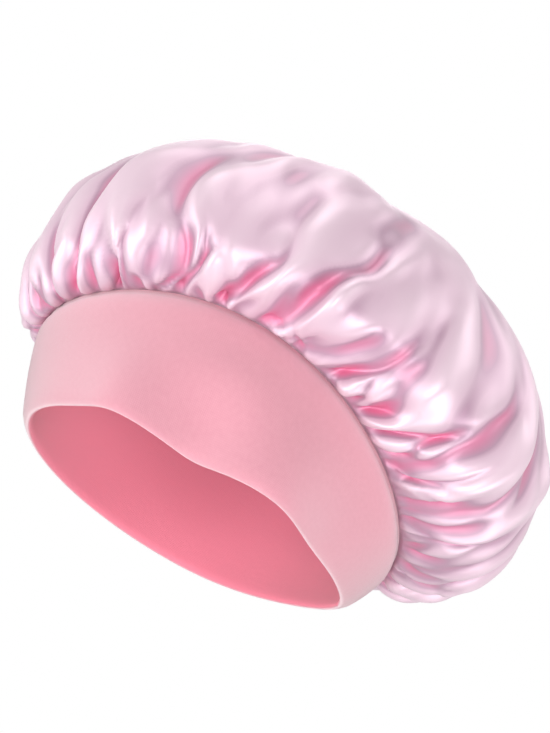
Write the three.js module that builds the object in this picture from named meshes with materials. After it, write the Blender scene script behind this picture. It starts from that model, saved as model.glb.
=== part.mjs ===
// Satin hair bonnet: a gathered satin crown sewn to a knit band that is folded at its hem.
// Millimetres, +Z up. The hem lies in z = 0, -Y is the forehead side and +Y the nape side.
import * as THREE from 'three';

// The hem, the folded lower edge of the band that goes round the head
const HEM_LENGTH = 184;
const HEM_WIDTH = 188;
const HEM_PINCH = 0.35;
const HEM_ROUND = 1.3;

// The seam, the upper edge of the band, where the crown is sewn on
const SEAM_LENGTH = 217;
const SEAM_WIDTH = 195;
const SEAM_PINCH = -0.12;
const SEAM_SHIFT = -3;
const SEAM_HEIGHT_SIDE = 67;
const SEAM_HEIGHT_FRONT = 49;
const SEAM_HEIGHT_BACK = 29;
const SEAM_ALLOWANCE = 7;

// The cloths, the elastic and the sewing thread
const KNIT_THICKNESS = 1.2;
const SATIN_THICKNESS = 1.0;
const ELASTIC_WIDTH = 20;
const ELASTIC_THICKNESS = 1.2;
const THREAD_DIAMETER = 0.6;
const CLEARANCE = 0.3;

// The crown, a round cloth gathered into the seam
const CROWN_LENGTH = 287;
const CROWN_WIDTH = 264;
const CROWN_SHIFT = 10;
const CROWN_TOP = 181;
const WIDEST_HEIGHT = 84;
const WIDEST_TILT = 9;
const CROWN_ROUNDNESS = 0.81;
const CROWN_DROOP = 6;
const DROOP_AT_SEAM = 2;
const SEAM_TURN_OUT = 0.4;
const WIDEST_TURN_UP = 0.35;

// The folds of the crown. Each has an angle at the seam and a lean on its way up, in degrees, the
// share of the way from the top to the seam at which it starts, and its share of the full depth
const FOLD_DEPTH = 10;
const FOLD_RIDGE = 1.5;
const NEAR_FOLDS = [
  [-92, -4, 0.55, 0.7],
  [-79, -6, 0.6, 0.7],
  [-70, -5, 0.7, 0.5],
  [-60, -4, 0.5, 0.9],
  [-48, -5, 0.72, 0.5],
  [-30, -10, 0.62, 0.9],
  [-19, 7, 0.7, 1],
  [-8, 15, 0.45, 1.1],
  [5, 5, 0.72, 0.7],
  [15, -3, 0.58, 0.9],
  [23, -2, 0.68, 0.6],
  [31, 2, 0.74, 0.6],
  [39, 2, 0.5, 0.9],
  [52, -1, 0.75, 0.5],
  [59, -2, 0.5, 0.9],
  [69, 0, 0.68, 0.6],
  [79, 0, 0.68, 0.5],
];

// The far folds follow a rule: they begin past the near ones, a step apart, each a little different
const FAR_FOLD_COUNT = 13;
const FAR_FOLD_FIRST = 92;
const FAR_FOLD_STEP = 13;
const FAR_FOLD_RULE = [
  { mean: 0, swing: 2, pace: 2.1 },
  { mean: 0, swing: 3, pace: 2.4 },
  { mean: 0.57, swing: 0.13, pace: 1.7 },
  { mean: 0.7, swing: 0.2, pace: 3.1 },
];

// Where a fold has its full depth, how soon it runs out at the seam, and where the widest ring
// lies, as shares of the way from the top to the seam
const FOLD_FULL = 0.9;
const FOLD_END = 0.06;
const WIDEST_SHARE = 0.77;

// Flat faces cut across the round of the cloth, so their corners stand out by this much
const CORNER_RISE = 1.2;

// Stitch rows
const JOIN_ROW_HEIGHT = 1.5;
const GATHER_ROW_HEIGHT = 4.5;
const BACK_SEAM_RISES = [0.35, 0.65, 0.95];
const TACK_FOOT = 4;
const TACK_PITCH = 2.4;
const TACK_ZIGZAGS = 5;
const TACK_ANGLE = 0.16;
const TACK_SPAN = 0.06;

// How finely the surfaces are divided
const STEPS_PER_FOLD = 2;
const SEGMENTS = (NEAR_FOLDS.length + FAR_FOLD_COUNT) * STEPS_PER_FOLD;
const LOWER_STEPS = 4;
const UPPER_STEPS = 5;
const UPPER_EASE = 1.35;
const THREAD_SIDES = 6;
const BACK_SEAM_STEPS = 8;
const STEPS_PER_ZIGZAG = 6;

const NAPE = Math.PI / 2;
const THREAD_RADIUS = THREAD_DIAMETER / 2;
const CAVITY = THREAD_DIAMETER + ELASTIC_THICKNESS + 3 * CLEARANCE;
const BAND_THICKNESS = 2 * KNIT_THICKNESS + CAVITY;
const TOP_THICKNESS = 2 * KNIT_THICKNESS + CLEARANCE;
const ELASTIC_OUTER = KNIT_THICKNESS + THREAD_DIAMETER + 2 * CLEARANCE;
const ELASTIC_FOOT = KNIT_THICKNESS + CLEARANCE;
const ELASTIC_TOP = ELASTIC_FOOT + ELASTIC_WIDTH;

const mix = THREE.MathUtils.lerp;

// Level rings of the bonnet: an angle of 0 is the ear on the +X side
function ovalRing(angle, width, length, shift, pinch) {
  const nape = Math.max(Math.sin(angle), 0);
  const x = (width / 2) * Math.cos(angle) * (1 - pinch * nape ** 3);
  const y = shift + (length / 2) * Math.sin(angle);
  return new THREE.Vector2(x, y);
}

const hemRing = (angle) => ovalRing(angle, HEM_WIDTH, HEM_LENGTH, 0, HEM_PINCH);
const seamRing = (angle) => ovalRing(angle, SEAM_WIDTH, SEAM_LENGTH, SEAM_SHIFT, SEAM_PINCH);
const widestRing = (angle) => ovalRing(angle, CROWN_WIDTH, CROWN_LENGTH, CROWN_SHIFT, 0);

// Height of the seam: high over the ears, lower at the forehead, lowest at the nape
function seamHeight(angle) {
  const sine = Math.sin(angle);
  const ends = (SEAM_HEIGHT_FRONT + SEAM_HEIGHT_BACK) / 2;
  const slope = (SEAM_HEIGHT_BACK - SEAM_HEIGHT_FRONT) / 2;
  return mix(SEAM_HEIGHT_SIDE, ends, sine * sine) + slope * sine;
}

// Outward direction of a ring, level, from its neighbouring points
function outwardOf(ring, angle) {
  const step = 0.001;
  const along = ring(angle + step).sub(ring(angle - step));
  return new THREE.Vector2(along.y, -along.x).normalize();
}

// A point of the band: rise is its share of the way from hem to seam, lift its height over the
// seam, and depth how far it lies inside the band's outer face
function bandPoint(angle, rise, depth, lift = 0) {
  const ring = (turn) => hemRing(turn).lerp(seamRing(turn), rise);
  const place = ring(angle).addScaledVector(outwardOf(ring, angle), -depth);
  return new THREE.Vector3(place.x, place.y, rise * seamHeight(angle) + lift);
}

// The same point given by its height over the hem
function bandPointAtHeight(angle, height, depth) {
  return bandPoint(angle, height / seamHeight(angle), depth);
}

// Middle surface of the crown without folds: climb runs from 0 at the seam to 1 at the top, and
// the widest ring lies at the share of the steps that the lower part has
const WIDEST_CLIMB = LOWER_STEPS / (LOWER_STEPS + UPPER_STEPS);

function crownMiddle(angle, climb) {
  const sine = Math.sin(angle);
  const seam = seamRing(angle).addScaledVector(outwardOf(seamRing, angle), CLEARANCE);
  const widest = widestRing(angle);
  const seamZ = seamHeight(angle);
  const widestZ = WIDEST_HEIGHT - WIDEST_TILT * sine;
  if (climb < WIDEST_CLIMB) {
    const droop = CROWN_DROOP * sine * sine;
    const section = new THREE.CubicBezierCurve(
      new THREE.Vector2(0, seamZ),
      new THREE.Vector2(SEAM_TURN_OUT, seamZ - DROOP_AT_SEAM * droop),
      new THREE.Vector2(1, mix(seamZ, widestZ, WIDEST_TURN_UP) - droop),
      new THREE.Vector2(1, widestZ),
    );
    const point = section.getPoint(climb / WIDEST_CLIMB);
    const place = seam.lerp(widest, point.x);
    return new THREE.Vector3(place.x, place.y, point.y);
  }
  const arc = ((climb - WIDEST_CLIMB) / (1 - WIDEST_CLIMB)) * (Math.PI / 2);
  const reach = Math.max(Math.cos(arc), 0) ** CROWN_ROUNDNESS;
  const place = new THREE.Vector2(0, CROWN_SHIFT).lerp(widest, reach);
  const tilt = WIDEST_TILT * sine * reach;
  const z = WIDEST_HEIGHT - tilt + (CROWN_TOP - WIDEST_HEIGHT) * Math.sin(arc);
  return new THREE.Vector3(place.x, place.y, z);
}

function crownOutward(angle, climb) {
  if (climb >= 1) return new THREE.Vector3(0, 0, 1);
  const step = 0.01;
  const low = Math.max(climb - step, 0);
  const along = crownMiddle(angle + step, climb).sub(crownMiddle(angle - step, climb));
  const up = crownMiddle(angle, climb + step).sub(crownMiddle(angle, low));
  return along.cross(up).normalize();
}

// All folds in order of their angle at the seam
function farFold(number) {
  const [turn, lean, start, depth] = FAR_FOLD_RULE.map(
    ({ mean, swing, pace }) => mean + swing * Math.sin(pace * number),
  );
  return [FAR_FOLD_FIRST + FAR_FOLD_STEP * number + turn, lean, start, depth];
}

const farFolds = Array.from({ length: FAR_FOLD_COUNT }, (_, number) => farFold(number));
const folds = [...NEAR_FOLDS, ...farFolds].map(([turn, lean, start, depth]) => ({
  angle: THREE.MathUtils.degToRad(turn),
  lean: THREE.MathUtils.degToRad(lean),
  start,
  depth: depth * FOLD_DEPTH,
}));

// The fold on each side of a ring angle, and the share of the way from the one to the other
function betweenFolds(index) {
  const number = Math.floor(index / STEPS_PER_FOLD) % folds.length;
  const next = (number + 1) % folds.length;
  const share = (index % STEPS_PER_FOLD) / STEPS_PER_FOLD;
  return { here: folds[number], next: folds[next], share, round: next === 0 ? 2 * Math.PI : 0 };
}

// Folds and rings share these angles, so that every piece has its corners in the same planes
function ringAngle(index) {
  const { here, next, share, round } = betweenFolds(index);
  return mix(here.angle, next.angle + round, share);
}

// Share of the way from the top to the seam at which a climb lies
function wayFromTop(climb) {
  if (climb < WIDEST_CLIMB) return mix(1, WIDEST_SHARE, climb / WIDEST_CLIMB);
  return (WIDEST_SHARE * (1 - climb)) / (1 - WIDEST_CLIMB);
}

// A fold is a valley that starts on the way down, deepens, and runs out at the seam. It leans
// from its angle at the seam towards its start
function foldDepth(fold, way) {
  return fold.depth * THREE.MathUtils.smoothstep(way, fold.start, FOLD_FULL);
}

const foldLean = (fold, way) => fold.lean * Math.min((1 - way) / (1 - fold.start), 1);

function crownPoint(index, climb, depth) {
  const { here, next, share } = betweenFolds(index);
  const way = wayFromTop(climb);
  const angle = ringAngle(index) + mix(foldLean(here, way), foldLean(next, way), share);
  const ridge = Math.sin(Math.PI * share);
  const valley = mix(foldDepth(here, way), foldDepth(next, way), share);
  const rise = CORNER_RISE + ridge * (valley / FOLD_DEPTH) * FOLD_RIDGE - (1 - ridge) * valley;
  const offset = rise * Math.min((1 - way) / FOLD_END, 1) - depth;
  return crownMiddle(angle, climb).addScaledVector(crownOutward(angle, climb), offset);
}

// A closed skin round the axis: the lathe makes its net of faces, with one row of corners for
// each place in the list, and each place says where its row goes at every ring angle. The list
// goes down the outside and up the inside, so the ring angles are taken in falling order.
function latheSkin(places) {
  const outline = places.map((place, row) => new THREE.Vector2(1, row));
  const geometry = new THREE.LatheGeometry(outline, SEGMENTS);
  const corners = geometry.attributes.position;
  for (let index = 0; index <= SEGMENTS; index += 1) {
    places.forEach((place, row) => {
      const corner = place((SEGMENTS - index) % SEGMENTS);
      corners.setXYZ(index * places.length + row, corner.x, corner.y, corner.z);
    });
  }
  geometry.deleteAttribute('normal');
  geometry.deleteAttribute('uv');
  splitShorterWay(geometry);
  return geometry;
}

// Each four-sided face is split along its shorter diagonal, so that layers that lie on each other
// bend in the same lines and keep their gap
function splitShorterWay(geometry) {
  const corners = geometry.attributes.position;
  const at = (index) => new THREE.Vector3().fromBufferAttribute(corners, index);
  const faces = geometry.index;
  for (let first = 0; first < faces.count; first += 6) {
    const [a, b, d, c] = [0, 1, 2, 3].map((step) => faces.getX(first + step));
    if (at(a).distanceTo(at(c)) < at(b).distanceTo(at(d))) {
      [a, b, c, a, c, d].forEach((corner, step) => faces.setX(first + step, corner));
    }
  }
}

function piece(name, geometry, colour, roughness) {
  const material = new THREE.MeshStandardMaterial({ color: colour, roughness, metalness: 0 });
  const mesh = new THREE.Mesh(geometry, material);
  mesh.name = name;
  return mesh;
}

// Crown: down the right side of the cloth to the seam, up the seam allowance, and back up the
// wrong side to the top
function crownCloth() {
  const lower = Array.from({ length: LOWER_STEPS - 1 }, (_, step) => (step + 1) / LOWER_STEPS);
  const upper = Array.from(
    { length: UPPER_STEPS + 1 },
    (_, step) => (step / UPPER_STEPS) ** UPPER_EASE,
  );
  const climbs = [
    ...lower.map((share) => WIDEST_CLIMB * share),
    ...upper.map((share) => mix(WIDEST_CLIMB, 1, share)),
  ].reverse();
  const rightSide = climbs.map((climb) => (index) => crownPoint(index, climb, 0));
  const wrongSide = climbs.map((climb) => (index) => crownPoint(index, climb, SATIN_THICKNESS));
  const allowance = (outside, lift) => (index) =>
    bandPoint(ringAngle(index), 1, -CLEARANCE - outside, lift);
  const seamFold = [
    allowance(0, 0),
    allowance(0, SEAM_ALLOWANCE),
    allowance(SATIN_THICKNESS, SEAM_ALLOWANCE),
    allowance(SATIN_THICKNESS, SATIN_THICKNESS),
  ];
  return latheSkin([...rightSide, ...seamFold, ...wrongSide.reverse()]);
}

// Band: one knit strip folded at the hem. Its two layers lie round the elastic, draw together
// above it, and turn up inside the crown as seam allowance
function bandSleeve() {
  const atSeam = (depth, lift) => (index) => bandPoint(ringAngle(index), 1, depth, lift);
  const above = (height, depth) => (index) => bandPointAtHeight(ringAngle(index), height, depth);
  const shoulder = ELASTIC_TOP + CLEARANCE;
  const outerFace = [
    atSeam(0, SEAM_ALLOWANCE),
    atSeam(0, 0),
    above(shoulder, 0),
    above(HEM_ROUND, 0),
    above(0, HEM_ROUND),
  ];
  const innerFace = [
    above(0, BAND_THICKNESS - HEM_ROUND),
    above(HEM_ROUND, BAND_THICKNESS),
    above(shoulder, BAND_THICKNESS),
    atSeam(TOP_THICKNESS, 0),
    atSeam(TOP_THICKNESS, SEAM_ALLOWANCE),
  ];
  const hollow = [
    atSeam(TOP_THICKNESS - KNIT_THICKNESS, SEAM_ALLOWANCE),
    atSeam(TOP_THICKNESS - KNIT_THICKNESS, 0),
    above(shoulder, BAND_THICKNESS - KNIT_THICKNESS),
    above(KNIT_THICKNESS, BAND_THICKNESS - KNIT_THICKNESS),
    above(KNIT_THICKNESS, KNIT_THICKNESS),
    above(shoulder, KNIT_THICKNESS),
    atSeam(KNIT_THICKNESS, 0),
    atSeam(KNIT_THICKNESS, SEAM_ALLOWANCE),
  ];
  return latheSkin([...outerFace, ...innerFace, ...hollow, outerFace[0]]);
}

// Elastic: a flat loop that lies in the fold of the band, against its inner layer
function bandElastic() {
  const edge = (height, depth) => (index) => bandPointAtHeight(ringAngle(index), height, depth);
  const inner = ELASTIC_OUTER + ELASTIC_THICKNESS;
  const outside = [edge(ELASTIC_TOP, ELASTIC_OUTER), edge(ELASTIC_FOOT, ELASTIC_OUTER)];
  const inside = [edge(ELASTIC_FOOT, inner), edge(ELASTIC_TOP, inner)];
  return latheSkin([...outside, ...inside, outside[0]]);
}

// A row of stitches round the seam, as one thread of even section
function stitchRow(lift, depth) {
  const side = (number) => (index) => {
    const turn = (-2 * Math.PI * number) / THREAD_SIDES;
    const across = depth - THREAD_RADIUS * Math.cos(turn);
    return bandPoint(ringAngle(index), 1, across, lift + THREAD_RADIUS * Math.sin(turn));
  };
  const sides = Array.from({ length: THREAD_SIDES }, (_, number) => side(number));
  return latheSkin([...sides, sides[0]]);
}

// Overlock: the loops of thread that cap the raw edges of crown and band inside the bonnet
function overlockThread() {
  const foot = SEAM_ALLOWANCE + CLEARANCE;
  const head = foot + THREAD_DIAMETER;
  const outside = -CLEARANCE - SATIN_THICKNESS;
  const corner = (depth, lift) => (index) => bandPoint(ringAngle(index), 1, depth, lift);
  const corners = [
    corner(outside, head),
    corner(outside, foot),
    corner(TOP_THICKNESS, foot),
    corner(TOP_THICKNESS, head),
  ];
  return latheSkin([...corners, corners[0]]);
}

function threadAlong(points, steps) {
  const section = new THREE.Shape();
  for (let side = 0; side < THREAD_SIDES; side += 1) {
    const turn = (2 * Math.PI * side) / THREAD_SIDES;
    const corner = [THREAD_RADIUS * Math.cos(turn), THREAD_RADIUS * Math.sin(turn)];
    if (side === 0) section.moveTo(...corner);
    else section.lineTo(...corner);
  }
  const path = new THREE.CatmullRomCurve3(points);
  return new THREE.ExtrudeGeometry(section, { steps, extrudePath: path, curveSegments: 1 });
}

// Back seam: the row of thread that closes the knit strip to a loop, at the nape
function backSeamThread() {
  const depth = KNIT_THICKNESS + CLEARANCE + THREAD_RADIUS;
  const foot = ELASTIC_FOOT / SEAM_HEIGHT_BACK;
  const points = [foot, ...BACK_SEAM_RISES].map((rise) => bandPoint(NAPE, rise, depth));
  return threadAlong(points, BACK_SEAM_STEPS);
}

// Elastic tack: the zigzag that closes the elastic to a loop, beside the back seam
function elasticTack() {
  const depth = ELASTIC_OUTER - CLEARANCE - THREAD_RADIUS;
  const low = ELASTIC_FOOT + TACK_FOOT;
  const points = Array.from({ length: 2 * TACK_ZIGZAGS + 1 }, (_, turn) => {
    const angle = NAPE + TACK_ANGLE + (turn % 2) * TACK_SPAN;
    return bandPointAtHeight(angle, low + (turn * TACK_PITCH) / 2, depth);
  });
  return threadAlong(points, STEPS_PER_ZIGZAG * TACK_ZIGZAGS);
}

const SATIN_PINK = 0xf1d4e2;
const KNIT_PINK = 0xf2b4c5;
const THREAD_PINK = 0xe7a3b6;
const ELASTIC_WHITE = 0xf3e7e9;
const SATIN_ROUGHNESS = 0.35;
const KNIT_ROUGHNESS = 0.8;
const ELASTIC_ROUGHNESS = 0.9;
const THREAD_ROUGHNESS = 0.6;

const thread = (name, geometry) => piece(name, geometry, THREAD_PINK, THREAD_ROUGHNESS);

const joinDepth = TOP_THICKNESS + CLEARANCE + THREAD_RADIUS;
const gatherDepth = -CLEARANCE - SATIN_THICKNESS - CLEARANCE - THREAD_RADIUS;

const bonnet = new THREE.Group();
bonnet.add(
  piece('crown_cloth', crownCloth(), SATIN_PINK, SATIN_ROUGHNESS),
  piece('band_sleeve', bandSleeve(), KNIT_PINK, KNIT_ROUGHNESS),
  piece('band_elastic', bandElastic(), ELASTIC_WHITE, ELASTIC_ROUGHNESS),
  thread('gathering_thread', stitchRow(GATHER_ROW_HEIGHT, gatherDepth)),
  thread('join_thread', stitchRow(JOIN_ROW_HEIGHT, joinDepth)),
  thread('overlock_thread', overlockThread()),
  thread('back_seam_thread', backSeamThread()),
  thread('elastic_tack', elasticTack()),
);

export default bonnet;
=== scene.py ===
# %% [markdown]
# # A satin hair bonnet
#
# The bonnet is a soft cap: one large round of satin, gathered along its edge and sewn to a wide
# stretch band. The band is a strip of fine knit that is folded at the hem, so it has two layers,
# and an elastic lies between them. In this lesson the cloth is gathered by a simulation, the band
# is drawn as a section that travels round two rings, and the stitches are set by Geometry Nodes.
#
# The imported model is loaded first. It fixes the frame: metres, +Z up, the hem in the plane z = 0,
# the forehead towards -Y and the nape, with the back seam of the band, towards +Y.

# %% Load the frame
import math

import bpy
import numpy as np
from mathutils import Matrix, Vector


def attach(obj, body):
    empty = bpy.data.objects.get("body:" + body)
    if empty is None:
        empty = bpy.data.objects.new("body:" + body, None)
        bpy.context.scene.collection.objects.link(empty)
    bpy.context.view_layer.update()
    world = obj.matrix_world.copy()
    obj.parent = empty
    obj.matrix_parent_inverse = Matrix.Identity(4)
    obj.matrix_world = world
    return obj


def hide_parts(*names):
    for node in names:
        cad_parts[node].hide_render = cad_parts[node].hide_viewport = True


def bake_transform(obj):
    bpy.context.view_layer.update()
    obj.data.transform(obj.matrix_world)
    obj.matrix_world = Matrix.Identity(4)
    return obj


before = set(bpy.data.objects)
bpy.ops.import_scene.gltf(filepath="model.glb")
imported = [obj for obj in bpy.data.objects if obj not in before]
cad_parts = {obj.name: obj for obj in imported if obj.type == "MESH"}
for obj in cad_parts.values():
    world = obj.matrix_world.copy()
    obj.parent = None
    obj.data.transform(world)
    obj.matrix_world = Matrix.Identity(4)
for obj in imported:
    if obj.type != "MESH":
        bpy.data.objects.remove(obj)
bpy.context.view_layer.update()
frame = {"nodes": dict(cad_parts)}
scene = bpy.context.scene
MM = 0.001
print("nodes:", ", ".join(frame["nodes"]))

# %% [markdown]
# ## The camera
#
# The photograph looks slightly up into the head opening, and the bonnet is tilted in the picture.
# A camera could be turned by three Euler angles, but here it is built from its own three
# directions: one vector pointing back from the bonnet to the lens, and two that span the picture.
# They are the columns of the camera's matrix, so nothing depends on the order of rotations.

# %% Camera
CAMERA_AZIMUTH = math.radians(88.66)
CAMERA_ELEVATION = math.radians(-22.45)
CAMERA_ROLL = math.radians(30.62)
CAMERA_PLACE = Vector((0.7825, -0.0163, -0.2305))
CAMERA_LENS = 107.3
CAMERA_CLIP = 0.01


def camera_directions():
    level = math.cos(CAMERA_ELEVATION)
    back = Vector((math.sin(CAMERA_AZIMUTH) * level, -math.cos(CAMERA_AZIMUTH) * level,
                   math.sin(CAMERA_ELEVATION)))
    right = Vector((math.cos(CAMERA_AZIMUTH), math.sin(CAMERA_AZIMUTH), 0))
    up = back.cross(right)
    cosine, sine = math.cos(CAMERA_ROLL), math.sin(CAMERA_ROLL)
    return right * cosine + up * sine, up * cosine - right * sine, back


picture_right, picture_up, picture_back = camera_directions()
camera_data = bpy.data.cameras.new("camera")
camera_data.lens = CAMERA_LENS
camera_data.sensor_fit = "HORIZONTAL"
camera_data.clip_start = CAMERA_CLIP
camera = bpy.data.objects.new("camera", camera_data)
camera.matrix_world = Matrix((*zip(picture_right, picture_up, picture_back, CAMERA_PLACE),
                              (0, 0, 0, 1)))
scene.collection.objects.link(camera)
scene.camera = camera
print("camera at", tuple(round(value, 3) for value in CAMERA_PLACE))

# %% [markdown]
# ## Node helpers
#
# Background, floor and finishes are all node trees. They could be wired by hand in the editor. In
# a script a few helpers keep the wiring readable: make a node, link two sockets, map a value from
# one range to another, calculate with two values, and mix two shaders.

# %% Node helpers
def node(tree, kind, **values):
    made = tree.nodes.new(kind)
    for name, value in values.items():
        setattr(made, name, value)
    return made


def join(tree, start, end):
    tree.links.new(start, end)


def spread(tree, value, low, high, from_low=0.0, from_high=1.0):
    made = node(tree, "ShaderNodeMapRange")
    made.inputs["From Min"].default_value = from_low
    made.inputs["From Max"].default_value = from_high
    made.inputs["To Min"].default_value = low
    made.inputs["To Max"].default_value = high
    join(tree, value, made.inputs["Value"])
    return made.outputs["Result"]


def calculated(tree, operation, first, second):
    made = node(tree, "ShaderNodeMath", operation=operation)
    join(tree, first, made.inputs[0])
    join(tree, second, made.inputs[1])
    return made.outputs[0]


def mix_shaders(tree, share, first, second):
    made = node(tree, "ShaderNodeMixShader")
    for place, socket in enumerate((share, first, second)):
        join(tree, socket, made.inputs[place])
    return made.outputs[0]


print("node helpers ready")

# %% [markdown]
# ## Background
#
# The background is plain white. A white world alone would also light the bonnet from everywhere
# and wash out its folds, so the world asks which ray it answers. Rays from the camera, mirror rays
# and rays through clear things get white. All others get a much lower level of light.

# %% Background
WORLD_LEVEL = 0.12
WHITE = (1, 1, 1, 1)

world = bpy.data.worlds.new("studio")
world.use_nodes = True
scene.world = world
studio = world.node_tree
studio.nodes.clear()
soft_light = node(studio, "ShaderNodeBackground")
soft_light.inputs["Strength"].default_value = WORLD_LEVEL
white_back = node(studio, "ShaderNodeBackground")
for background in (soft_light, white_back):
    background.inputs["Color"].default_value = WHITE
rays = node(studio, "ShaderNodeLightPath").outputs
direct = calculated(studio, "MAXIMUM", rays["Is Camera Ray"], rays["Is Glossy Ray"])
seen = calculated(studio, "MAXIMUM", direct, rays["Is Transmission Ray"])
join(studio, mix_shaders(studio, seen, soft_light.outputs[0], white_back.outputs[0]),
     node(studio, "ShaderNodeOutputWorld").inputs["Surface"])
print("world level", WORLD_LEVEL)

# %% [markdown]
# ## Floor
#
# The bonnet stands on its hem on a pale floor. The photograph was taken from below the level of
# the hem, so the floor has to let that camera through. It could be hidden for one view, but then
# it would be missing in the others. Instead its material is clear from underneath, and as an
# object it casts no shadow, so light reaches the opening from all round. A glow that only the
# camera sees keeps it as white as the background.

# %% Floor
FLOOR_HALF = 6

floor_mesh = bpy.data.meshes.new("floor")
corners = [(x * FLOOR_HALF, y * FLOOR_HALF, 0) for x, y in ((-1, -1), (1, -1), (1, 1), (-1, 1))]
floor_mesh.from_pydata(corners, [], [(0, 1, 2, 3)])
floor = bpy.data.objects.new("floor", floor_mesh)
scene.collection.objects.link(floor)
floor.visible_shadow = False
floor.visible_diffuse = False
floor.visible_glossy = False
print("floor", 2 * FLOOR_HALF, "m wide")

# %% Floor paper
FLOOR_WHITE = 0.9
PAPER_GREY = (0.9, 0.9, 0.9, 1)

floor_paper = bpy.data.materials.new("floor_paper")
floor_paper.use_nodes = True
paper = floor_paper.node_tree
paper.nodes.clear()
shaded = node(paper, "ShaderNodeBsdfDiffuse")
shaded.inputs["Color"].default_value = PAPER_GREY
glow = node(paper, "ShaderNodeEmission")
camera_ray = node(paper, "ShaderNodeLightPath").outputs["Is Camera Ray"]
join(paper, spread(paper, camera_ray, 0, FLOOR_WHITE), glow.inputs["Strength"])
pale = node(paper, "ShaderNodeAddShader")
join(paper, shaded.outputs[0], pale.inputs[0])
join(paper, glow.outputs[0], pale.inputs[1])
clear = node(paper, "ShaderNodeBsdfTransparent")
underneath = node(paper, "ShaderNodeNewGeometry").outputs["Backfacing"]
join(paper, mix_shaders(paper, underneath, pale.outputs[0], clear.outputs[0]),
     node(paper, "ShaderNodeOutputMaterial").inputs["Surface"])
floor_mesh.materials.append(floor_paper)
print("floor glows at", FLOOR_WHITE)

# %% [markdown]
# ## Lamps
#
# Satin shows its folds by what it reflects, so six large soft lamps stand round the bonnet: one
# high, one at each side, a low one that shines into the opening, one in front, and one behind for
# a bright rim. They could be placed along the frame's axes, but the bonnet is tilted in the
# picture. So each place is given in the picture's own directions, as a studio would set its lamps
# round a tilted object.

# %% Lamps
BONNET_MIDDLE = Vector((0, 0.01, 0.09))
# Name, place (right, up and back towards the camera, in metres), size in metres, power in watts.
LAMPS = (
    ("lamp_high", (0.2, 0.95, -0.1), 0.7, 4.4),
    ("lamp_right", (0.9, 0.35, -0.1), 0.6, 2.8),
    ("lamp_low", (0.55, -0.8, 0.5), 0.6, 5.6),
    ("lamp_left", (-0.9, 0.1, 0.45), 0.6, 6.2),
    ("lamp_front", (-0.1, -0.15, 1.0), 0.45, 5.2),
    ("lamp_back", (0.0, 0.3, -1.0), 0.6, 5),
)


def soft_lamp(name, place, size, power):
    right, up, back = place
    lamp_data = bpy.data.lights.new(name, "AREA")
    lamp_data.size = size
    lamp_data.energy = power
    lamp = bpy.data.objects.new(name, lamp_data)
    lamp.location = (BONNET_MIDDLE + picture_right * right + picture_up * up
                     + picture_back * back)
    aim = BONNET_MIDDLE - lamp.location
    lamp.rotation_euler = aim.to_track_quat("-Z", "Y").to_euler()
    scene.collection.objects.link(lamp)


for lamp_row in LAMPS:
    soft_lamp(*lamp_row)
scene.view_settings.view_transform = "Standard"

# %% [markdown]
# ## The rings of the band
#
# Two ovals carry the whole bonnet: the hem below and the seam above. They could be drawn as
# curves, but formulas keep every later piece on the same rings: the band, the elastic, the
# gathered edge of the crown and the stitches all ask the same functions for their places. The hem
# is level and the seam isn't: it is high over the ears and low at the nape. On the near side the
# soft hem falls inwards between two rounded corners, as it does in the photograph.

# %% Rings
HEM_WIDTH, HEM_LENGTH, HEM_PINCH = 188 * MM, 184 * MM, 0.35
SEAM_WIDTH, SEAM_LENGTH, SEAM_PINCH, SEAM_SHIFT = 195 * MM, 217 * MM, -0.12, -3 * MM
SEAM_HIGH_SIDE, SEAM_HIGH_FRONT, SEAM_HIGH_BACK = 67 * MM, 49 * MM, 29 * MM


def oval_ring(angle, width, length, shift, pinch):
    nape = np.maximum(np.sin(angle), 0)
    x = width / 2 * np.cos(angle) * (1 - pinch * nape ** 3)
    y = shift + length / 2 * np.sin(angle)
    return np.stack([x, y], -1)


def hem_ring(angle):
    return oval_ring(angle, HEM_WIDTH, HEM_LENGTH, 0, HEM_PINCH)


def seam_ring(angle):
    return oval_ring(angle, SEAM_WIDTH, SEAM_LENGTH, SEAM_SHIFT, SEAM_PINCH)


def seam_height(angle):
    sine = np.sin(angle)
    ends = (SEAM_HIGH_FRONT + SEAM_HIGH_BACK) / 2
    slope = (SEAM_HIGH_BACK - SEAM_HIGH_FRONT) / 2
    return SEAM_HIGH_SIDE + (ends - SEAM_HIGH_SIDE) * sine ** 2 + slope * sine


one_turn = np.radians(np.arange(361))
girth = np.linalg.norm(np.diff(seam_ring(one_turn), axis=0), axis=1).sum()
print("seam ring is", round(girth / MM), "mm round")

# %% Places on the band
HEM_FALL_HEIGHT = 44 * MM
HEM_FALL_EDGE = 3
# Place along y, half width and reach outwards of each fall of the hem, in mm.
HEM_FALLS = ((-12, 20, -12.5), (-52, 15, 6.5), (30, 15, 3.5), (63, 14, -3.0))
SMALL_TURN = 0.001


def hem_fall(angle, height):
    """How far the near side of the soft hem leans out, or inwards where it is negative."""
    y = hem_ring(angle)[..., 1] / MM
    near = np.clip(np.cos(angle) * HEM_FALL_EDGE, 0, 1)
    fall = sum(reach * np.exp(-((y - place) / half) ** 2) for place, half, reach in HEM_FALLS)
    rest = np.clip(1 - height / HEM_FALL_HEIGHT, 0, 1)
    return near * fall * MM * rest * rest * (3 - 2 * rest)


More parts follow.
